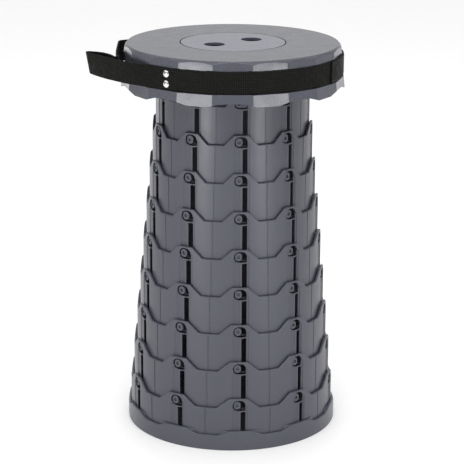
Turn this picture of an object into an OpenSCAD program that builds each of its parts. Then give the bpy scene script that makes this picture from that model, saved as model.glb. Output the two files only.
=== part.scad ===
// Telescoping camp stool: nine slotted rings step out from the seat down to a round base.
// Z is up, the origin is on the stool's axis at the floor, and the stool stands fully extended.
// All lengths are millimetres and all angles are degrees.

/* [Whole stool] */
// Height of the seat's top face above the floor
stool_h = 450; // [430:5:450]
// Number of telescoping rings below the seat
ring_count = 9; // [6:1:9]
// Number of slots round each ring
slot_count = 10; // [8:1:10]

/* [Rings] */
// Outer radius of the smallest ring
ring_r = 88.35; // [86:0.05:90]
// Growth in radius from one ring to the next
ring_step = 3.9; // [3.8:0.05:4]
// Wall thickness of a ring
ring_wall = 2.6; // [2.4:0.1:2.8]
// Height of a ring from its lower edge to its crests
ring_h = 56.8; // [56.5:0.1:57]
// Vertical distance between one row of pins and the next
ring_pitch = 42.95; // [42.8:0.05:43]
// Depth of the dips between the crests
dip_depth = 11.45; // [8:0.05:12]
// Turn from one ring's slots to the next ring's
ring_turn = 0.33; // [0:0.01:0.5]
// Direction of the smallest ring's first slot, from the front towards +X
slot_turn = 9.2; // [0:0.1:36]

/* [Slots and pins] */
// Width of the vertical slots
slot_w = 5.6; // [5:0.1:6]
// Radius of the moulded pins
pin_r = 3.9; // [3.6:0.1:4]
// Distance from a slot's middle to its locked pin
pin_x = 6.8; // [6.6:0.1:7]

/* [Seat] */
// Width of the front and back facets of the seat's edge, in degrees
front_facet = 20.2; // [18:0.2:21]
// Angle between the other corners of the seat's edge
facet_turn = 18.4; // [17.5:0.1:18.6]
// Corner radius of the faceted edge at the top face
seat_top_r = 123.4; // [123:0.1:124.5]
// Corner radius of the faceted edge at its lowest point
seat_low_r = 128.2; // [127:0.1:129]
// Height of the faceted edge
seat_edge_h = 49.8; // [48:0.2:50]
// Radius of the round cover in the middle of the seat
cap_r = 59.7; // [55:0.1:64]

/* [Base] */
// Outer radius of the base
base_r = 122.9; // [122:0.1:124]
// Height of the base's crests
base_h = 23.2; // [22:0.1:25]

/* [Strap] */
// Width of the webbing
strap_w = 25; // [20:1:25]
// Thickness of the webbing
strap_t = 1.6; // [1.2:0.1:1.6]

/* [Hidden] */

PLASTIC = [0.44, 0.45, 0.49];
SEAT_GREY = [0.52, 0.53, 0.56];
RUBBER = [0.12, 0.12, 0.13];
STEEL = [0.78, 0.78, 0.8];
WEBBING = [0.07, 0.07, 0.07];

eps = 0.01;
over = 1;                                   // how far a cutter runs past the face that it opens
round_fn = 96;
small_fn = 32;
slot_pitch = 360 / slot_count;

// Rings, measured from the crests of each one
pin_drop = 8.2;                             // from a ring's crests down to the pins that it carries
pin_up = ring_h - ring_pitch - pin_drop;    // from a ring's lower edge up to its own pins
crest_z = stool_h - 45.2;                   // crests of ring 1
skin = 1.2;                                 // wall left outside the hidden pin channels
pin_gap = 0.3;
pin_rise = 0.8;                             // pins are taller than wide by twice this much
pin_stand = ring_step - skin - pin_gap;     // pins stand this far out of their ring
channel_half = pin_r + 0.3;
dip_turn = 15.3;                            // middle of a dip, in degrees from the slot
dip_half = 5.95;                            // half a dip's floor, in degrees
dip_slope = 6.6;                            // each of its sloping ends, in degrees
line_turn = 15.2;                           // thin moulded line near the middle of each dip
line_w = 1.3;
line_depth = 0.5;
panel_x = -9;                               // sunk panel beside each slot, across the wall
panel_w = 7.2;
panel_depth = 0.45;
rebate_w = 2.5;                             // sunken edge along the other side of each slot
rebate_depth = 0.8;
pocket_r = 6.2;                             // rounded ends of the pocket round each pin
pocket_top = 1.9;                           // from the crests down to the pocket
catch_h = 1.5;                              // thin catch left across the slot, under the pocket
pocket_left = -11.9;
pocket_right = slot_w / 2;
slot_foot = 1.8;                            // wall left below each slot

// Seat
seat_t = 3;                                 // thickness over the rings
seat_mid_t = 6;                             // thickness inside the top ring
seat_inner_r = ring_r + (ring_count - 1) * ring_step + 0.4;
cap_gap = 1;
cap_t = 3;
cap_skirt_h = 11;
cap_skirt_t = 2;
ledge_r = cap_r - 5;
rim_z = 7.5;                                // depth below the top face where the rim thins
flat_r = 120.5;                             // radius of the flat top, inside its sloping edge
edge_slope = 0.9;                           // growth in radius for each millimetre down that edge
finger_r = 11.8;
finger_x = 21;
finger_y = 16.5;
lobe_lift = 4;                              // lobes of the rim's lower edge: lift, and angles between them
lobe_half = 6.2;
lobe_slope = 6;
top_r = ring_r - ring_step;                 // outer radius of the ring fixed under the seat
flange_t = 3;
flange_r = 66;
seat_screw_r = 72;
screw_count = 5;
screw_r = 1.4;
pilot_r = 1.5;
screw_hole_r = 1.7;
pilot_depth = 4.4;
screw_head_r = 3.2;
screw_head_h = 1.8;

// Base
floor_t = 2.8;
base_gap = 0.3;
wave_turn = 22.9;                           // direction of the rim's first dip, from the front towards +X
wave_depth = 5.3;
wave_half = 5.5;
wave_slope = 6.5;
last_z = floor_t;                           // lower edge of the last ring, on the base's floor
base_screw_r = 108;
base_screw_turn = 36;
foot_inner_r = 102;
foot_t = 2.2;                               // thickness of the last ring's inward flange
pad_r = 8;
pad_t = 1.5;
hub_r = 30;
web_w = 5;
recess_t = 1.2;
recess_r = 98;

// Strap
strap_z = stool_h - 10.6 - strap_w;         // lower edge of the webbing
groove_r = 123.25;
strap_mid_r = groove_r + 0.3 + strap_t / 2;
strap_from = -40;                           // where the handle leaves the rim, and where it comes back
strap_to = 220;
lap_from = 60;
lap_to = 100;
lap_t = 1.2;
lap_gap = 0.05;
rivet_turn = -35.6;
rivet_back_turn = -144.4;
rivet_pitch = 11.3;
rivet_r = 1.6;
rivet_head_r = 4;
rivet_head_h = 1.7;
washer_r = 4.2;
washer_t = 0.7;
washer_gap = 0.1;
rim_steps = 46;                             // stretches drawn along the rim
curve_steps = 3;                            // stretches drawn between two points of the handle's route

// The handle's route in plan, from the rim's left back round to its left front
HANDLE = [[-92, 87.5], [-106, 79.5], [-119, 73.5], [-128, 69.9], [-132.6, 66.3], [-133.9, 60],
          [-133.8, 44], [-133.4, 26], [-133, 8], [-132.4, -8], [-131.2, -21], [-129.8, -29.5],
          [-129.8, -34], [-131.6, -35.8], [-133.8, -33], [-137.4, -25], [-142, -18.4], [-147, -12.8],
          [-153, -9.6], [-159, -7.8], [-163.6, -6.4], [-166.4, -8], [-165, -12.4], [-160, -18.4],
          [-153.4, -26.4], [-146, -35], [-138, -44.6], [-128, -56], [-116, -68.2], [-104, -78.2],
          [-91, -86.8]];

function ring_out(n) = ring_r + (n - 1) * ring_step;
function ring_top(n) = crest_z - (n - 1) * ring_pitch;
function slot_at(n) = slot_turn - (n - 1) * ring_turn;
// Direction of the pins that stand in ring n's pockets
function pin_at(n) = slot_at(n) - atan(pin_x / ring_out(n));
function on_circle(r, turn) = [r * sin(turn), -r * cos(turn)];
function polygon_of(r, turns) = [for (turn = turns) on_circle(r, turn)];

// Directions of the corners of the seat's edge, which is the same front and back, left and right
QUARTER = [for (k = [0 : 4]) front_facet / 2 + k * facet_turn];
HALF = concat(QUARTER, [for (k = [4 : -1 : 0]) 180 - QUARTER[k]]);
CORNERS = concat(HALF, [for (turn = HALF) 180 + turn]);

// Turns its children to stand out from the axis at an angle from the front
module facing(turn) {
    rotate([0, 0, turn]) children();
}

// Places its children at every screw of one circle
module at_screws(r, turn, z) {
    for (i = [0 : screw_count - 1]) facing(turn + i * 360 / screw_count) translate([0, -r, z]) children();
}

// Repeats its children once for every slot, starting at an angle from the front
module round_slots(turn) {
    for (i = [0 : slot_count - 1]) facing(turn + i * slot_pitch) children();
}

// Extrudes a flat outline, drawn as seen from the front, from one distance off the axis to another
module radial(from, to) {
    translate([0, -from, 0]) rotate([90, 0, 0]) linear_extrude(height = to - from) children();
}

// Plain round wall
module tube(outer, inner, z0, z1) {
    translate([0, 0, z0]) difference() {
        cylinder(r = outer, h = z1 - z0, $fn = round_fn);
        translate([0, 0, -over]) cylinder(r = inner, h = z1 - z0 + 2 * over, $fn = round_fn);
    }
}

// Outline that opens the wall between two crests at height z, for a wall of radius r
module dip_outline(r, z, depth, half, slope) {
    low_x = r * tan(half);
    high_x = r * tan(half + slope);
    grow = (high_x - low_x) / depth * over;
    polygon([[-low_x, z - depth], [low_x, z - depth], [high_x + grow, z + over], [-high_x - grow, z + over]]);
}

// Pocket for a locked pin, rounded at its far end and its upper corner, over the slot
module pocket_outline(z) {
    mid_z = z - pocket_top - pocket_r;
    translate([pocket_left + pocket_r, mid_z]) circle(r = pocket_r, $fn = small_fn);
    translate([pocket_right - pocket_r, mid_z]) circle(r = pocket_r, $fn = small_fn);
    translate([pocket_left + pocket_r, mid_z - pocket_r])
        square([pocket_right - pocket_left - 2 * pocket_r, 2 * pocket_r]);
    translate([pocket_right - pocket_r, mid_z - pocket_r]) square([pocket_r, pocket_r]);
}

// Outline of a pin, a little taller than wide
module pin_outline() {
    for (side = [-1, 1]) translate([0, side * pin_rise]) circle(r = pin_r, $fn = small_fn);
    translate([-pin_r, -pin_rise]) square([2 * pin_r, 2 * pin_rise]);
}

// Moulded pins of the ring that has the given outer radius and lower edge
module pins(r, z, turn) {
    round_slots(turn) translate([0, 0, z + pin_up]) difference() {
        radial(r - skin / 2, r + pin_stand) pin_outline();
        radial(r + 0.8, r + pin_stand + over) circle(r = pin_r * 0.55, $fn = 6);
    }
}

// One telescoping ring: a scalloped wall with slots, pin pockets, hidden pin channels and its own pins.
// Each channel runs behind the panel beside a slot and opens into that slot.
// The last ring has an inward flange instead of pins, which the base's screws hold.
module ring(n) {
    r = ring_out(n);
    inner = r - ring_wall;
    top = ring_top(n);
    last = n == ring_count;
    low = last ? last_z : top - ring_h;
    slot_z = last ? low + foot_t + over : low + slot_foot;
    slot_top = top - pocket_top - 2 * pocket_r - catch_h;
    channel_z = last ? slot_z + 0.4 : low - over;
    difference() {
        union() {
            tube(r, inner, low, top);
            if (last) tube(inner + ring_wall / 3, foot_inner_r, low, low + foot_t);
        }
        round_slots(slot_at(n) + dip_turn) radial(inner - ring_step, r + over)
            dip_outline(r, top, dip_depth, dip_half, dip_slope);
        round_slots(slot_at(n) + line_turn) radial(r - line_depth, r + over)
            translate([-line_w / 2, low - over]) square([line_w, top - low]);
        round_slots(slot_at(n)) radial(inner - ring_step, r + over) {
            pocket_outline(top);
            translate([-slot_w / 2, slot_z]) square([slot_w, slot_top - slot_z]);
        }
        round_slots(slot_at(n)) radial(r - rebate_depth, r + over)
            translate([0, slot_z]) square([slot_w / 2 + rebate_w, top - slot_z - pin_drop]);
        round_slots(slot_at(n) + atan(panel_x / r)) radial(r - panel_depth, r + over)
            translate([-panel_w / 2, low - over])
                square([panel_w, top - low - pocket_top - 2 * pocket_r + 2 * over]);
        round_slots(pin_at(n)) radial(inner - ring_step, r - skin)
            translate([-channel_half, channel_z]) square([channel_half + pin_x, top - pin_drop - channel_z]);
        if (last) at_screws(base_screw_r, base_screw_turn, low - over)
            cylinder(r = pilot_r, h = foot_t + 2 * over, $fn = small_fn);
    }
    if (!last) pins(r, low, pin_at(n + 1));
}

module ring_1() { color(PLASTIC) ring(1); }
module ring_2() { color(PLASTIC) ring(2); }
module ring_3() { color(PLASTIC) ring(3); }
module ring_4() { color(PLASTIC) ring(4); }
module ring_5() { color(PLASTIC) ring(5); }
module ring_6() { color(PLASTIC) ring(6); }
module ring_7() { color(PLASTIC) ring(7); }
module ring_8() { color(PLASTIC) ring(8); }
module ring_9() { color(PLASTIC) ring(9); }

// Short ring that is screwed up under the seat and carries the first row of pins
module top_ring() {
    low = ring_top(1) - pin_drop - pin_up;
    high = stool_h - seat_mid_t;
    color(PLASTIC) {
        tube(top_r, top_r - ring_wall, low, stool_h - seat_t);
        difference() {
            tube(top_r - ring_wall + eps, flange_r, high - flange_t, high);
            at_screws(seat_screw_r, 0, high - flange_t - over)
                cylinder(r = screw_hole_r, h = flange_t + 2 * over, $fn = small_fn);
        }
        pins(top_r, low, pin_at(1));
    }
}

// Places its children at every rivet, standing out from the rim
module at_rivets() {
    for (turn = [rivet_turn, rivet_back_turn]) facing(turn)
        for (side = [-1, 1]) translate([0, 0, strap_z + strap_w / 2 + side * rivet_pitch / 2]) children();
}

// Seat: a flat top with a faceted, scalloped edge, a groove for the webbing and a round opening
module seat_top() {
    low = stool_h - seat_edge_h;
    cover_z = stool_h - cap_t;
    color(SEAT_GREY) difference() {
        translate([0, 0, low]) intersection() {
            linear_extrude(height = seat_edge_h, scale = seat_top_r / seat_low_r)
                polygon(polygon_of(seat_low_r, CORNERS));
            cylinder(r1 = flat_r + edge_slope * seat_edge_h, r2 = flat_r, h = seat_edge_h, $fn = round_fn);
        }
        // hollow for the rings, stepped in below the top
        translate([0, 0, low - over])
            cylinder(r = seat_inner_r, h = seat_edge_h - rim_z + over, $fn = round_fn);
        tube(seat_inner_r - 3, top_r + 0.1, low, stool_h - seat_t);
        tube(top_r + 0.2, top_r - ring_wall - 0.1, low, stool_h - seat_t);
        translate([0, 0, low]) cylinder(r = top_r, h = seat_edge_h - seat_mid_t, $fn = round_fn);
        // groove for the webbing
        tube(seat_low_r + 2 * over, groove_r, strap_z - 0.3, strap_z + strap_w + 0.3);
        // lobes of the lower edge
        round_slots(0) radial(seat_inner_r - ring_step, seat_low_r + over)
            translate([0, low + lobe_lift]) mirror([0, 1])
                dip_outline(seat_low_r, lobe_lift, lobe_lift, lobe_half, lobe_slope);
        // opening under the cover
        translate([0, 0, cover_z]) cylinder(r = cap_r + cap_gap, h = cap_t + over, $fn = round_fn);
        translate([0, 0, low]) cylinder(r = ledge_r, h = seat_edge_h + over, $fn = round_fn);
        at_screws(seat_screw_r, 0, stool_h - seat_mid_t - over)
            cylinder(r = pilot_r, h = pilot_depth + over, $fn = small_fn);
        at_rivets() radial(seat_inner_r - over, seat_low_r + over)
            circle(r = rivet_r + washer_gap, $fn = small_fn);
        at_rivets() radial(seat_inner_r - over, seat_inner_r + washer_t + 2 * washer_gap)
            circle(r = washer_r + 2 * washer_gap, $fn = small_fn);
    }
}

// Round cover with two finger holes, which drops into the seat's opening
module centre_cap() {
    cover_z = stool_h - cap_t;
    color(SEAT_GREY) difference() {
        union() {
            translate([0, 0, cover_z]) cylinder(r = cap_r, h = cap_t, $fn = round_fn);
            tube(ledge_r - 0.6, ledge_r - 0.6 - cap_skirt_t, stool_h - cap_skirt_h, cover_z + eps);
        }
        for (side = [-1, 1]) translate([side * finger_x, side * finger_y, cover_z - over])
            cylinder(r = finger_r, h = cap_t + 2 * over, $fn = small_fn);
    }
}

// Base: a shallow round tray with a wavy rim, ribbed underneath
module base_tray() {
    color(PLASTIC) {
        difference() {
            tube(base_r, base_r - base_wall(), 0, base_h);
            round_slots(wave_turn) radial(base_r - ring_step, base_r + over)
                dip_outline(base_r, base_h, wave_depth, wave_half, wave_slope);
        }
        difference() {
            cylinder(r = base_r - base_wall() + eps, h = floor_t, $fn = round_fn);
            difference() {
                tube(recess_r, hub_r, -over, recess_t);
                round_slots(0) translate([-web_w / 2, -base_r, -2 * over])
                    cube([web_w, base_r, recess_t + 3 * over]);
            }
            at_screws(base_screw_r, base_screw_turn, -over)
                cylinder(r = screw_hole_r, h = floor_t + 2 * over, $fn = small_fn);
            at_screws(base_screw_r, base_screw_turn, -over)
                cylinder(r = screw_head_r + 0.2, h = screw_head_h + 0.2 + over, $fn = small_fn);
            at_screws(base_screw_r, 0, -over) cylinder(r = pad_r + 0.1, h = pad_t + over, $fn = small_fn);
        }
    }
}

function base_wall() = base_r - ring_out(ring_count) - base_gap;

// Non-slip pads let into the underside of the base
module foot_pads() {
    color(RUBBER) at_screws(base_screw_r, 0, 0) cylinder(r = pad_r, h = pad_t, $fn = small_fn);
}

// Self-tapping screw with a cross recess, its head down and its shank up
module screw(head_z, length) {
    translate([0, 0, head_z]) difference() {
        union() {
            cylinder(r = screw_head_r, h = screw_head_h, $fn = small_fn);
            translate([0, 0, screw_head_h - eps]) cylinder(r = screw_r, h = length + eps, $fn = small_fn);
        }
        for (turn = [0, 90]) rotate([0, 0, turn]) translate([-1.8, -0.4, -over]) cube([3.6, 0.8, 0.9 + over]);
    }
}

module seat_screws() {
    color(STEEL) at_screws(seat_screw_r, 0, 0)
        screw(stool_h - seat_mid_t - flange_t - screw_head_h, flange_t + pilot_depth - 0.6);
}

module base_screws() {
    color(STEEL) at_screws(base_screw_r, base_screw_turn, 0) screw(0.2, floor_t - 2 + foot_t);
}

// Point on a smooth curve through four points, between the middle two
function curve_point(a, b, c, d, t) =
    0.5 * (2 * b + (c - a) * t + (2 * a - 5 * b + 4 * c - d) * t * t + (3 * b - a - 3 * c + d) * t ^ 3);

// The closed route in plan: along the rim, then round the handle
RIM = [for (i = [0 : rim_steps]) on_circle(strap_mid_r, strap_from + i * (strap_to - strap_from) / rim_steps)];
LOOSE = concat([RIM[len(RIM) - 2], RIM[len(RIM) - 1]], HANDLE, [RIM[0], RIM[1]]);
ROUTE = concat(
    RIM,
    [for (i = [1 : len(LOOSE) - 3], step = [(i == 1 ? 1 : 0) : curve_steps - 1])
        curve_point(LOOSE[i - 1], LOOSE[i], LOOSE[i + 1], LOOSE[i + 2], step / curve_steps)]
);

// The route moved sideways by a distance
function beside(route, shift) = [
    for (i = [0 : len(route) - 1])
        let (back = route[(i + len(route) - 1) % len(route)], next = route[(i + 1) % len(route)],
             along = (next - back) / norm(next - back))
        route[i] + shift * [along[1], -along[0]]
];

module strap() {
    color(WEBBING) difference() {
        translate([0, 0, strap_z]) linear_extrude(height = strap_w) difference() {
            polygon(beside(ROUTE, strap_t / 2));
            polygon(beside(ROUTE, -strap_t / 2));
        }
        at_rivets() radial(groove_r - over, groove_r + 3) circle(r = rivet_r + washer_gap, $fn = small_fn);
    }
}

// Overlapping end of the webbing, sewn down on the strap
module strap_lap() {
    inner = groove_r + 0.3 + strap_t + lap_gap;
    color(WEBBING) facing(lap_from - 90) translate([0, 0, strap_z])
        rotate_extrude(angle = lap_to - lap_from, $fn = round_fn)
            translate([inner, 0]) square([lap_t, strap_w]);
}

// Domed rivets that hold both ends of the handle to the rim
module strap_rivets() {
    head_at = groove_r + 0.3 + strap_t + lap_gap;
    dome_r = (rivet_head_r * rivet_head_r + rivet_head_h * rivet_head_h) / (2 * rivet_head_h);
    color(STEEL) at_rivets() {
        radial(seat_inner_r + washer_gap, head_at + eps) circle(r = rivet_r, $fn = small_fn);
        translate([0, -head_at, 0]) rotate([90, 0, 0]) rotate_extrude($fn = small_fn) intersection() {
            translate([0, rivet_head_h - dome_r]) circle(r = dome_r, $fn = 64);
            square([rivet_head_r + over, rivet_head_h + over]);
        }
    }
}

module rivet_washers() {
    from = seat_inner_r + washer_gap;
    color(STEEL) at_rivets() radial(from, from + washer_t) difference() {
        circle(r = washer_r, $fn = small_fn);
        circle(r = rivet_r + washer_gap, $fn = small_fn);
    }
}

seat_top();
centre_cap();
top_ring();
ring_1();
ring_2();
ring_3();
ring_4();
ring_5();
ring_6();
ring_7();
ring_8();
ring_9();
base_tray();
foot_pads();
seat_screws();
base_screws();
strap();
strap_lap();
strap_rivets();
rivet_washers();
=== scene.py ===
import math

import bmesh
import bpy
from mathutils import Euler, Matrix, Vector


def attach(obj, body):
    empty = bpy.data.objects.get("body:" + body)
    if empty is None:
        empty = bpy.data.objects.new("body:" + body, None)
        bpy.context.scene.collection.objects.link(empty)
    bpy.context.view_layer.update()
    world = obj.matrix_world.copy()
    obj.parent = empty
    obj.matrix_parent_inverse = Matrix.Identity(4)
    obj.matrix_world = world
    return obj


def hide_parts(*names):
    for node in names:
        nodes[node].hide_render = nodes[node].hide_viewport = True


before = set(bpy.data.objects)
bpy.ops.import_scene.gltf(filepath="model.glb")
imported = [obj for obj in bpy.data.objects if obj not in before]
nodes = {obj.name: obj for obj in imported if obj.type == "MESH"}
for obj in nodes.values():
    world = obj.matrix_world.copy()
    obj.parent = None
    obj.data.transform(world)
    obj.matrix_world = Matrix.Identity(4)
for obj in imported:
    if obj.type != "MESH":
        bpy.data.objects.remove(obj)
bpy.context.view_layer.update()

MM = 0.001

# the smallest ring's outer radius, and how much larger each next ring is
RING_R, RING_STEP = 88.35 * MM, 3.9 * MM
RINGS = {f"ring_{n}": RING_R + (n - 1) * RING_STEP for n in range(1, 10)}

# the smallest ring's crests, and how much lower each next ring's crests are
CREST_Z, PITCH = 404.8 * MM, 42.95 * MM
DIP = 13 * MM                      # a little more than the depth of the dips between the crests

# turn of the first slot from the front in degrees, how much less it is on each next ring, and the spacing
SLOT_TURN, RING_TURN, SLOT_SPACING = 9.2, 0.33, 36
SLOT_LEFT, SLOT_RIGHT = -12.8 * MM, 5.4 * MM    # strip round each slot that the next ring's pocket shows

BASE_R, BASE_RIM_LOW = 122.9 * MM, 15 * MM
CAP_GAP_IN, CAP_GAP_OUT, CAP_GAP_LOW = 54.3 * MM, 60.9 * MM, 446 * MM
SEAT_FACE_LOW = 449.5 * MM         # faces above this height that face up are the top of the seat or cover

WEAVE = 2.4 * MM                   # spacing of the squares in the webbing


def add_object(name, data):
    thing = bpy.data.objects.new(name, data)
    bpy.context.scene.collection.objects.link(thing)
    return thing


def map_range(tree, source, low, high, start, end):
    """Spreads the values of a socket between start and end over low to high."""
    node = tree.nodes.new("ShaderNodeMapRange")
    for name, value in (("From Min", start), ("From Max", end), ("To Min", low), ("To Max", high)):
        node.inputs[name].default_value = value
    tree.links.new(source, node.inputs["Value"])
    return node.outputs["Result"]


# ---------------------------------------------------------------- camera, light and floor

def make_camera():
    """Camera at the photograph's place: a long lens, slightly above the stool and looking down at it."""
    distance, elevation, target_z, roll = 2.105, math.radians(16.23), 0.2244, math.radians(0.293)
    data = bpy.data.cameras.new("camera")
    data.sensor_width = 36.0
    data.lens = 139.2
    camera = add_object("camera", data)
    camera.location = (0, -distance * math.cos(elevation), target_z + distance * math.sin(elevation))
    turn = Euler((math.pi / 2 - elevation, 0, 0)).to_matrix() @ Matrix.Rotation(roll, 3, "Z")
    camera.rotation_euler = turn.to_euler()
    bpy.context.scene.camera = camera


def add_area_light(name, azimuth, elevation, distance, size, power, target=(0, 0, 0.25)):
    """Soft box at an angle from the front (+ towards +X), aimed at the stool."""
    data = bpy.data.lights.new(name, "AREA")
    data.shape = "RECTANGLE"
    data.size, data.size_y = size
    data.energy = power
    light = add_object(name, data)
    a, e = math.radians(azimuth), math.radians(elevation)
    aim = Vector(target)
    away = Vector((math.sin(a) * math.cos(e), -math.cos(a) * math.cos(e), math.sin(e)))
    light.location = aim + distance * away
    light.rotation_euler = (aim - light.location).to_track_quat("-Z", "Y").to_euler()


def make_studio():
    """Plain studio: a soft sky, two strips on each side, and a soft box high at the front and at the back."""
    bpy.context.scene.view_settings.view_transform = "Standard"
    world = bpy.data.worlds.new("studio")
    world.use_nodes = True
    tree = world.node_tree
    place = tree.nodes.new("ShaderNodeTexCoord")
    split = tree.nodes.new("ShaderNodeSeparateXYZ")
    tree.links.new(place.outputs["Generated"], split.inputs["Vector"])
    # brighter behind the stool, and brightest overhead
    behind = map_range(tree, split.outputs["Y"], 0.25, 0.8, 0.6, 0.95)
    overhead = map_range(tree, split.outputs["Z"], 0.0, 0.95, 0.35, 0.7)
    total = tree.nodes.new("ShaderNodeMath")
    tree.links.new(behind, total.inputs[0])
    tree.links.new(overhead, total.inputs[1])
    tree.links.new(total.outputs["Value"], tree.nodes["Background"].inputs["Strength"])
    tree.nodes["Background"].inputs["Color"].default_value = (1, 1, 1, 1)
    bpy.context.scene.world = world
    # the strips end below the seat, so they stay out of its top
    for name, azimuth, power in (("strip_left", -39, 7.4), ("strip_right", 39, 6.1),
                                 ("strip_back_left", -143, 0.8), ("strip_back_right", 143, 0.3)):
        add_area_light(name, azimuth, 0, 1.7, (0.36, 0.44), power, (0, 0, 0.22))
    for name, azimuth, power in (("high_front", 0, 14), ("high_back", 180, 6)):
        add_area_light(name, azimuth, 56, 2.2, (1.0, 0.35), power)


def make_floor():
    """Pale matte floor that reaches past the picture's edges."""
    half = 30.0
    mesh = bpy.data.meshes.new("floor")
    corners = [(-half, -half, 0), (half, -half, 0), (half, half, 0), (-half, half, 0)]
    mesh.from_pydata(corners, [], [(0, 1, 2, 3)])
    floor = add_object("floor", mesh)
    material = bpy.data.materials.new("floor")
    material.use_nodes = True
    shader = material.node_tree.nodes["Principled BSDF"]
    shader.inputs["Base Color"].default_value = (0.95, 0.95, 0.95, 1)
    shader.inputs["Roughness"].default_value = 0.9
    shader.inputs["Specular IOR Level"].default_value = 0.1
    mesh.materials.append(material)


# ---------------------------------------------------------------- materials

class Nodes:
    """Short way to add and join shader nodes in one material."""

    def __init__(self, name):
        self.material = bpy.data.materials.new(name)
        self.material.use_nodes = True
        self.tree = self.material.node_tree
        self.shader = self.tree.nodes["Principled BSDF"]

    def add(self, kind, **settings):
        node = self.tree.nodes.new(kind)
        for key, value in settings.items():
            setattr(node, key, value)
        return node

    def join(self, source, target):
        self.tree.links.new(source, target)

    def noise(self, scale, detail=3.0, stretch=(1, 1, 1)):
        mapping = self.add("ShaderNodeMapping")
        mapping.inputs["Scale"].default_value = stretch
        self.join(self.add("ShaderNodeTexCoord").outputs["Object"], mapping.inputs["Vector"])
        node = self.add("ShaderNodeTexNoise")
        node.inputs["Scale"].default_value = scale
        node.inputs["Detail"].default_value = detail
        self.join(mapping.outputs["Vector"], node.inputs["Vector"])
        return node.outputs["Fac"]

    def math(self, operation, first, second=None):
        """Sum on one or two values, each a number or a socket."""
        node = self.add("ShaderNodeMath", operation=operation)
        for socket, value in zip(node.inputs, (first, second)):
            if isinstance(value, (int, float)):
                socket.default_value = value
            elif value is not None:
                self.join(value, socket)
        return node.outputs["Value"]

    def mix(self, factor, first, second):
        """Colour between two colours, by a factor from 0 to 1."""
        node = self.add("ShaderNodeMix", data_type="RGBA")
        self.join(factor, node.inputs["Factor"])
        for socket, value in zip([s for s in node.inputs if s.type == "RGBA"], (first, second)):
            if isinstance(value, tuple):
                socket.default_value = value
            else:
                self.join(value, socket)
        return [s for s in node.outputs if s.type == "RGBA"][0]

    def spread(self, source, low, high, start=0.3, end=0.7):
        return map_range(self.tree, source, low, high, start, end)

    def bump(self, height, distance, strength=1.0, below=None):
        node = self.add("ShaderNodeBump")
        node.inputs["Distance"].default_value = distance
        node.inputs["Strength"].default_value = strength
        self.join(height, node.inputs["Height"])
        if below is not None:
            self.join(below, node.inputs["Normal"])
        return node.outputs["Normal"]


def grey(value, tint=(0.9, 0.94, 1.2)):
    """Grey of a given brightness, cool unless another tint is given."""
    return (value * tint[0], value * tint[1], value * tint[2], 1)


def moulded_plastic(name, tone, roughness):
    """Satin injection-moulded plastic: fine spark texture, faint flow marks and an uneven sheen.
    The part of a ring that shows through its neighbour's pockets is painted nearly black, by the "cover"
    attribute: painted shade for the dark gap behind the pockets.
    """
    m = Nodes(name)
    covered = m.add("ShaderNodeAttribute", attribute_name="cover").outputs["Fac"]
    flow = m.spread(m.noise(14, stretch=(1, 1, 0.35)), 0, 1)
    specks = m.spread(m.noise(900, 1), 0, 1, 0.62, 0.75)
    colour = m.mix(flow, grey(tone * 0.95), grey(tone * 1.05))
    colour = m.mix(m.math("MULTIPLY", specks, 0.25), colour, grey(tone * 1.5))
    # painted shade: nearly black over the lowest fifth of a ring, which stands behind the next ring's pockets
    pocket_shade = m.spread(covered, 0, 0.8, 0.77, 0.79)
    m.join(m.mix(pocket_shade, colour, grey(tone * 0.05)), m.shader.inputs["Base Color"])
    sheen = m.spread(m.noise(60, 4), roughness - 0.025, roughness + 0.035)
    m.join(m.math("MAXIMUM", sheen, pocket_shade), m.shader.inputs["Roughness"])
    fine = m.bump(m.noise(2600, 2), 0.00003, 0.4)
    m.join(m.bump(m.noise(30, 2), 0.00025, 0.2, fine), m.shader.inputs["Normal"])
    return m.material


def woven(name, tone):
    """Nylon webbing: rows of small raised squares, driven by the band's length and width. Their hollows are
    painted darker and their tops lighter, as painted shade and highlight.
    """
    m = Nodes(name)
    weave = m.add("ShaderNodeUVMap", uv_map="weave")
    split = m.add("ShaderNodeSeparateXYZ")
    m.join(weave.outputs["UV"], split.inputs["Vector"])
    along = m.math("SINE", m.math("MULTIPLY", split.outputs["X"], math.pi / WEAVE))
    across = m.math("SINE", m.math("MULTIPLY", split.outputs["Y"], math.pi / WEAVE))
    cells = m.math("ABSOLUTE", m.math("MULTIPLY", along, across))
    height = m.spread(cells, 0, 1, 0, 0.7)
    fibre = m.noise(2600, 2, (1, 1, 3))
    # painted shade in the hollows between the squares and painted highlight on their raised tops
    between, raised = grey(tone * 0.15, (1, 1, 0.9)), grey(tone * 5, (1, 1, 0.85))
    m.join(m.mix(height, between, raised), m.shader.inputs["Base Color"])
    m.join(m.spread(m.noise(200), 0.5, 0.72), m.shader.inputs["Roughness"])
    m.join(m.bump(height, 0.0006, 0.9, m.bump(fibre, 0.00008, 0.5)), m.shader.inputs["Normal"])
    m.shader.inputs["Specular IOR Level"].default_value = 0.1
    return m.material


def simple(name, colour, roughness, metallic=0.0, grain=400):
    """Metal, rubber or thread with a slightly uneven tone and a fine grain."""
    m = Nodes(name)
    tone = m.spread(m.noise(grain / 10), 0, 1)
    dark = tuple(c * 0.92 for c in colour) + (1,)
    light = tuple(min(1, c * 1.06) for c in colour) + (1,)
    m.join(m.mix(tone, dark, light), m.shader.inputs["Base Color"])
    m.shader.inputs["Metallic"].default_value = metallic
    m.join(m.spread(m.noise(grain), roughness * 0.8, roughness * 1.25), m.shader.inputs["Roughness"])
    m.join(m.bump(m.noise(grain * 3), 0.00002, 0.6), m.shader.inputs["Normal"])
    return m.material


def paint(node, *materials):
    """Gives a CAD piece its materials. Its faces keep the first unless a function below changes it."""
    mesh = nodes[node].data
    mesh.materials.clear()
    for material in materials:
        mesh.materials.append(material)


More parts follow.
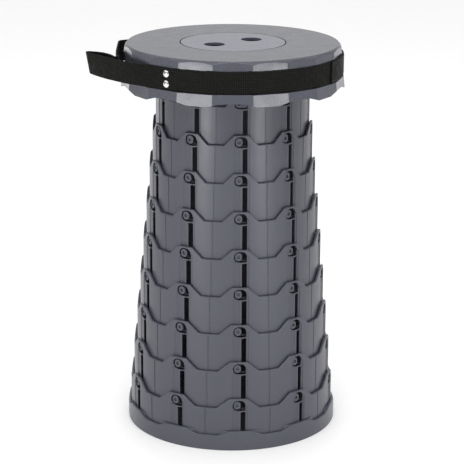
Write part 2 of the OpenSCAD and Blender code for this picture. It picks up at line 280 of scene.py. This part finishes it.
def mark_pocket_shade(node, radius, slot_turn):
    """Stores how far down its ring each face corner beside a slot is, from 0 to 1. Elsewhere, and on the pins
    that stand clear of the wall, it is 0. The plastic paints shade by it over the part behind the next ring's
    pockets.
    """
    mesh = nodes[node].data
    heights = [v.co.z for v in mesh.vertices]
    low, high = min(heights), max(heights)
    cover = mesh.attributes.new("cover", "FLOAT", "CORNER")
    for face in mesh.polygons:
        turn = math.degrees(math.atan2(face.center.x, -face.center.y)) - slot_turn
        half = SLOT_SPACING / 2
        aside = math.radians((turn + half) % SLOT_SPACING - half) * radius
        for corner in face.loop_indices:
            place = mesh.vertices[mesh.loops[corner].vertex_index].co
            clear = math.hypot(place.x, place.y) > radius + 0.5 * MM
            beside = SLOT_LEFT < aside < SLOT_RIGHT
            cover.data[corner].value = (high - place.z) / (high - low) if beside and not clear else 0


def shade_gap(node):
    """Gives the second, nearly black material to the walls and floor of the narrow gap round the cover:
    painted shade in the gap.
    """
    for face in nodes[node].data.polygons:
        place = face.center
        in_gap = CAP_GAP_IN < math.hypot(place.x, place.y) < CAP_GAP_OUT and place.z > CAP_GAP_LOW
        if in_gap and (face.normal.z < 0.99 or place.z < SEAT_FACE_LOW):
            face.material_index = 1


def shade_recesses(node, radius):
    """Gives the second material to the sunk panels and lines that lie just inside a ring's outer face. Its
    darker tone is painted shade in these recesses, and it is also rougher.
    """
    for face in nodes[node].data.polygons:
        out = Vector((face.center.x, face.center.y, 0))
        depth = radius - out.length
        if 0.3 * MM < depth < 1.0 * MM and face.normal.dot(out.normalized()) > 0.9:
            face.material_index = 1


def ends_of(mesh, pair):
    """The two ends of an edge as places, the same for all edges that lie on one another."""
    return frozenset(tuple(round(c / MM, 2) for c in mesh.vertices[k].co) for k in pair)


def shade_by_edges(node, angle=12):
    """Smooth shading, broken at every edge that turns by more than an angle. The bevels need it."""
    mesh = nodes[node].data
    sides = {}
    for face in mesh.polygons:
        for pair in face.edge_keys:
            sides.setdefault(ends_of(mesh, pair), []).append(face.normal.copy())
    for edge in mesh.edges:
        normals = sides[ends_of(mesh, edge.vertices)]
        edge.use_edge_sharp = any(normals[0].angle(other, 0) > math.radians(angle) for other in normals[1:])
    mesh.polygons.foreach_set("use_smooth", [True] * len(mesh.polygons))
    mesh.attributes.remove(mesh.attributes["custom_normal"])


def mark_rims(node, radius, lowest):
    """Marks the edges between a wall's outer face, at a radius, and its scalloped upper edge."""
    mesh = nodes[node].data
    sides = {}
    for face in mesh.polygons:
        out = Vector((face.center.x, face.center.y, 0))
        outer = face.normal.dot(out.normalized()) > 0.9 and out.length > radius - 0.3 * MM
        for pair in face.edge_keys:
            sides.setdefault(ends_of(mesh, pair), []).append((outer, face.normal.copy()))
    weights = mesh.attributes.new("bevel_weight_edge", "FLOAT", "EDGE")
    for edge in mesh.edges:
        found = sides.get(ends_of(mesh, edge.vertices), [])
        outer = [normal for is_outer, normal in found if is_outer]
        other = [normal for is_outer, normal in found if not is_outer]
        foot = min(mesh.vertices[k].co.z for k in edge.vertices)
        if outer and other and foot > lowest and other[0].z > 0.3:
            weights.data[edge.index].value = 1


def add_bevel(node, width, segments, **limit):
    bevel = nodes[node].modifiers.new("round", "BEVEL")
    bevel.width = width
    bevel.segments = segments
    bevel.harden_normals = True
    for key, value in limit.items():
        setattr(bevel, key, value)


def round_edges(node, width, rim=0.0, angle=32):
    """Softens a moulded piece's edges that turn by more than an angle, and rounds its marked rims more."""
    shade_by_edges(node)
    weld = nodes[node].modifiers.new("join", "WELD")
    weld.merge_threshold = 0.01 * MM
    if rim:
        add_bevel(node, rim, 3, limit_method="WEIGHT", use_clamp_overlap=False)
    add_bevel(node, width, 2, limit_method="ANGLE", angle_limit=math.radians(angle), use_clamp_overlap=False)


# ---------------------------------------------------------------- webbing (in millimetres and degrees)

GROOVE_R = 123.25                  # the groove round the seat that holds the webbing
STRAP_T, STRAP_W, STRAP_Z = 1.6, 25.0, 414.4
STRAP_MID_R = GROOVE_R + 0.3 + STRAP_T / 2
STRAP_FROM, STRAP_TO = -40.0, 220.0
LAP_FROM, LAP_TO, LAP_T = 60.0, 100.0, 1.2
# the slack handle's route in plan, from the back of the seat to the front
HANDLE = [(-92, 87.5), (-106, 79.5), (-119, 73.5), (-128, 69.9), (-132.6, 66.3), (-133.9, 60),
          (-133.8, 44), (-133.4, 26), (-133, 8), (-132.4, -8), (-131.2, -21), (-129.8, -29.5),
          (-129.8, -34), (-131.6, -35.8), (-133.8, -33), (-137.4, -25), (-142, -18.4), (-147, -12.8),
          (-153, -9.6), (-159, -7.8), (-163.6, -6.4), (-166.4, -8), (-165, -12.4), (-160, -18.4),
          (-153.4, -26.4), (-146, -35), (-138, -44.6), (-128, -56), (-116, -68.2), (-104, -78.2),
          (-91, -86.8)]


def on_circle(radius, turn):
    """Place in plan at a turn from the front, positive towards +X."""
    a = math.radians(turn)
    return Vector((radius * math.sin(a), -radius * math.cos(a)))


def smooth_through(points, steps):
    """Catmull-Rom curve through all points but the first and the last."""
    out = []
    for a, b, c, d in zip(points, points[1:], points[2:], points[3:]):
        for k in range(steps):
            t = k / steps
            out.append(0.5 * (2 * b + (c - a) * t + (2 * a - 5 * b + 4 * c - d) * t * t
                              + (3 * b - a - 3 * c + d) * t ** 3))
    return out


def fold_lean(place):
    """How far the webbing's lower edge stands in at the handle's folded end."""
    start_x, length, most = -148, 18, 4.2
    return most * max(0.0, min(1.0, (start_x - place.x) / length)) ** 1.5


def band_outline(width, thick, steps=8):
    """Section of webbing on edge, as (across, up) places: two flat sides joined by rounded selvedges."""
    half_w, half_t = width / 2, thick / 2
    outline = []
    for side in (-1, 1):
        for k in range(steps + 1):
            outline.append((side * half_t, side * (-1 + 2 * k / steps) * (half_w - half_t)))
        for k in (1, 2, 3):
            a = math.radians(45 * k)
            outline.append((side * half_t * math.cos(a), side * (half_w - half_t + half_t * math.sin(a))))
    return outline


def finish_webbing(name, bm, material):
    """Turns a bmesh into a piece that rides the seat."""
    bmesh.ops.recalc_face_normals(bm, faces=bm.faces)
    mesh = bpy.data.meshes.new(name)
    bm.to_mesh(mesh)
    bm.free()
    mesh.materials.append(material)
    thing = add_object(name, mesh)
    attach(thing, "seat")
    return thing


def band(name, path, thick, material, closed):
    """Webbing on edge along a path in plan, with lengths along and round it stored for the weave."""
    rows = len(path)
    outline = band_outline(STRAP_W, thick)
    ring = len(outline)
    middle_z = STRAP_Z + STRAP_W / 2
    bm = bmesh.new()
    layer = bm.loops.layers.uv.new("weave")
    points, lengths, run = [], [], 0.0
    for i, here in enumerate(path):
        before = path[i - 1] if i or closed else here
        after = path[(i + 1) % rows] if i < rows - 1 or closed else here
        along = (after - before).normalized()
        out = Vector((along.y, -along.x))
        if i:
            run += (here - path[i - 1]).length
        lengths.append(run)
        wave = 0.12 * math.sin(run / 17.0) + 0.08 * math.sin(run / 5.3 + 1)
        for across, up in outline:
            place = here + out * across
            lean = fold_lean(here) * (0.5 - up / STRAP_W)
            points.append(bm.verts.new(((place.x + lean) * MM, place.y * MM, (middle_z + up + wave) * MM)))
    around = [0.0]
    for k in range(ring):
        a, b = outline[k], outline[(k + 1) % ring]
        around.append(around[-1] + math.dist(a, b))
    total = run + (path[0] - path[-1]).length
    for i in range(rows if closed else rows - 1):
        j = (i + 1) % rows
        end = lengths[j] if j else total
        for k in range(ring):
            m = (k + 1) % ring
            face = bm.faces.new((points[i * ring + k], points[j * ring + k],
                                 points[j * ring + m], points[i * ring + m]))
            face.smooth = True
            start, low, high = lengths[i], around[k], around[k + 1]
            for loop, spot in zip(face.loops, ((start, low), (end, low), (end, high), (start, high))):
                loop[layer].uv = (spot[0] * MM, spot[1] * MM)
    if not closed:
        for first, backwards in ((0, False), ((rows - 1) * ring, True)):
            loop = points[first:first + ring]
            bm.faces.new(loop[::-1] if backwards else loop)
    return finish_webbing(name, bm, material)


def threads(name, stitches, radius, material):
    """Sewing stitches: short threads that stand a little out of the webbing and dip into it at their ends."""
    sections = ((0, 0.5, -0.7), (0.18, 1, 0.1), (0.5, 1.05, 0.45), (0.82, 1, 0.1), (1, 0.5, -0.7))
    bm = bmesh.new()
    for start, end, out in stitches:
        along = (end - start).normalized()
        side = along.cross(out).normalized()
        loops = []
        for t, size, rise in sections:
            middle = start.lerp(end, t) + out * radius * rise
            loops.append([bm.verts.new(middle + radius * size * (math.cos(a) * side + math.sin(a) * out))
                          for a in [math.radians(60 * k) for k in range(6)]])
        for first, second in zip(loops, loops[1:]):
            for k in range(6):
                bm.faces.new((first[k], first[(k + 1) % 6], second[(k + 1) % 6], second[k])).smooth = True
        bm.faces.new(loops[0][::-1])
        bm.faces.new(loops[-1])
    finish_webbing(name, bm, material)


def stitch_line(radius, start, end, pitch=2.6, gap=0.7):
    """Stitches on a drum of the given radius, between two places given as turn in degrees and height."""
    (turn_a, z_a), (turn_b, z_b) = start, end
    length = math.hypot(math.radians(turn_b - turn_a) * radius, z_b - z_a)
    count = max(1, round(length / pitch))
    out = []
    for k in range(count):
        ends = []
        for t in ((k + gap / pitch / 2) / count, (k + 1 - gap / pitch / 2) / count):
            place = on_circle(radius, turn_a + (turn_b - turn_a) * t)
            ends.append(Vector((place.x, place.y, z_a + (z_b - z_a) * t)) * MM)
        middle = ends[0] + ends[1]
        out.append((ends[0], ends[1], Vector((middle.x, middle.y, 0)).normalized()))
    return out


def boxed_cross(radius, left, right):
    """Stitches round a box and along its diagonals, between two turns on a drum."""
    margin = 2.2
    low, high = STRAP_Z + margin, STRAP_Z + STRAP_W - margin
    lines = [((left, low), (right, low)), ((right, low), (right, high)), ((right, high), (left, high)),
             ((left, high), (left, low)), ((left, low), (right, high)), ((left, high), (right, low))]
    return [stitch for a, b in lines for stitch in stitch_line(radius, a, b)]


def make_strap(material, thread):
    """The webbing round the seat and its handle in one closed band, and the sewn-down end over it."""
    rim_steps = 376
    turn = (STRAP_TO - STRAP_FROM) / rim_steps
    rim = [on_circle(STRAP_MID_R, STRAP_FROM + k * turn) for k in range(rim_steps + 1)]
    step = rim_steps // 46
    loose = [rim[-1 - step], rim[-1]] + [Vector(p) for p in HANDLE] + [rim[0], rim[step]]
    strap = band("carry_strap", rim + smooth_through(loose, 9)[1:], STRAP_T, material, True)
    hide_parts("strap")

    clearance, lap_steps = 0.05, 60
    lap_r = STRAP_MID_R + STRAP_T / 2 + clearance + LAP_T / 2
    path = [on_circle(lap_r, LAP_FROM + k * (LAP_TO - LAP_FROM) / lap_steps) for k in range(lap_steps + 1)]
    lap = band("carry_strap_end", path, LAP_T, material, False)
    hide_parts("strap_lap")

    near, far = 1.6, 12.6
    stitches = boxed_cross(lap_r + LAP_T / 2, LAP_FROM + near, LAP_FROM + far)
    stitches += boxed_cross(lap_r + LAP_T / 2, LAP_TO - far, LAP_TO - near)
    threads("lap_stitching", stitches, 0.28 * MM, thread)


# ---------------------------------------------------------------- scene

make_camera()
make_studio()
make_floor()

ring_plastic = moulded_plastic("ring_plastic", 0.065, 0.34)
# darker than ring_plastic as painted shade for the sunk panels, and rougher
recess_shade_plastic = moulded_plastic("recess_shade_plastic", 0.06, 0.42)
seat_plastic = moulded_plastic("seat_plastic", 0.072, 0.26)
cap_plastic = moulded_plastic("cap_plastic", 0.13, 0.26)
# nearly black: painted shade for the narrow gap round the cover
gap_shade_plastic = moulded_plastic("gap_shade_plastic", 0.01, 0.7)
webbing = woven("webbing", 0.0022)
thread = simple("thread", (0.02, 0.02, 0.02), 0.5, grain=2000)
rivet_metal = simple("rivet_metal", (0.8, 0.8, 0.81), 0.16, 1.0)
screw_steel = simple("screw_steel", (0.55, 0.55, 0.56), 0.35, 1.0)
pad_rubber = simple("pad_rubber", (0.025, 0.025, 0.026), 0.75)

for name, radius in RINGS.items():
    paint(name, ring_plastic, recess_shade_plastic)
    shade_recesses(name, radius)
    # painted shade on each ring but the largest, where it stands behind the next ring's pockets
    if name != "ring_9":
        mark_pocket_shade(name, radius, SLOT_TURN - RING_TURN * (radius - RING_R) / RING_STEP)
    mark_rims(name, radius, CREST_Z - PITCH * (radius - RING_R) / RING_STEP - DIP)
    round_edges(name, 0.2 * MM, 0.9 * MM)
for name in ("top_ring", "base_tray"):
    paint(name, ring_plastic)
mark_rims("base_tray", BASE_R, BASE_RIM_LOW)
round_edges("base_tray", 0.4 * MM, 0.9 * MM)
round_edges("top_ring", 0.4 * MM)
paint("seat_top", seat_plastic, gap_shade_plastic)
paint("centre_cap", cap_plastic, gap_shade_plastic)
for name in ("seat_top", "centre_cap"):
    shade_gap(name)
    round_edges(name, 0.4 * MM, angle=20)
paint("strap_rivets", rivet_metal)
for name in ("seat_screws", "base_screws", "rivet_washers"):
    paint(name, screw_steel)
paint("foot_pads", pad_rubber)
make_strap(webbing, thread)
